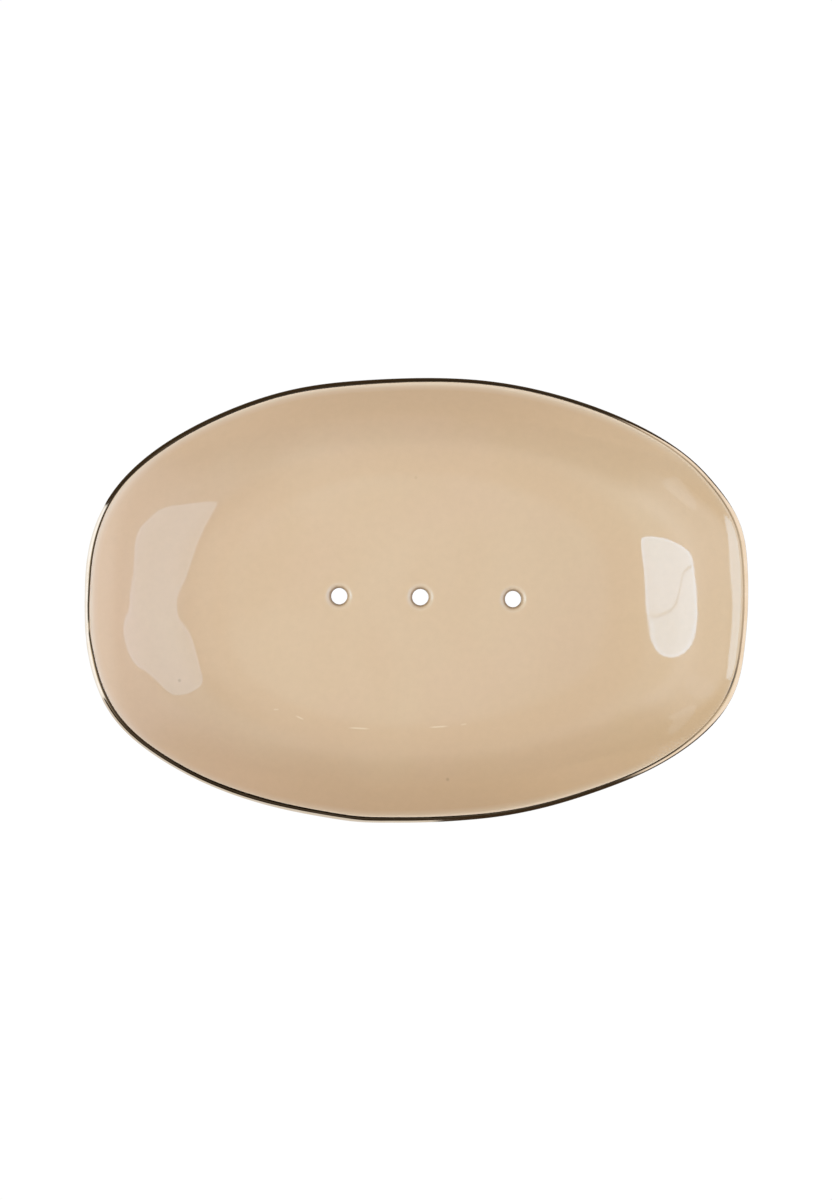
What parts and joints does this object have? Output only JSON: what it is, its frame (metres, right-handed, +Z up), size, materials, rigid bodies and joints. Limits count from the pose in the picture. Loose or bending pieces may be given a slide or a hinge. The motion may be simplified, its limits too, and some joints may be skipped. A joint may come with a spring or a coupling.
{
  "type": "soap dish",
  "caption": "Shallow oval soap dish of glazed ceramic with round drain holes along its flat floor, a low foot ring and a thin gold band on its lip. Holds a bar of soap and lets it drain.",
  "frame": {"origin": "centre of the plane that the foot ring stands on, under the middle of the dish's outline", "axes": "+X along the dish's length, towards the end nearest its widest hole gap; +Y across its width; +Z up, out of the bowl"},
  "size_m": [0.1353, 0.0906, 0.0212],
  "materials": {
    "clay": "fired earthenware body, matt, hidden under the glaze",
    "foot_clay": "bare fired clay, matt, wiped smooth before firing",
    "glaze_inside": "gloss warm beige glaze",
    "glaze_outside": "gloss warm beige glaze",
    "glaze_underside": "gloss warm beige glaze",
    "gold_lustre": "fired gold lustre, polished, brushed on by hand"
  },
  "bodies": {
    "root": {"clay_body": "clay", "foot_ring": "foot_clay", "inner_glaze": "glaze_inside", "outer_glaze": "glaze_outside", "base_glaze": "glaze_underside", "gold_rim": "gold_lustre"}
  },
  "joints": []
}
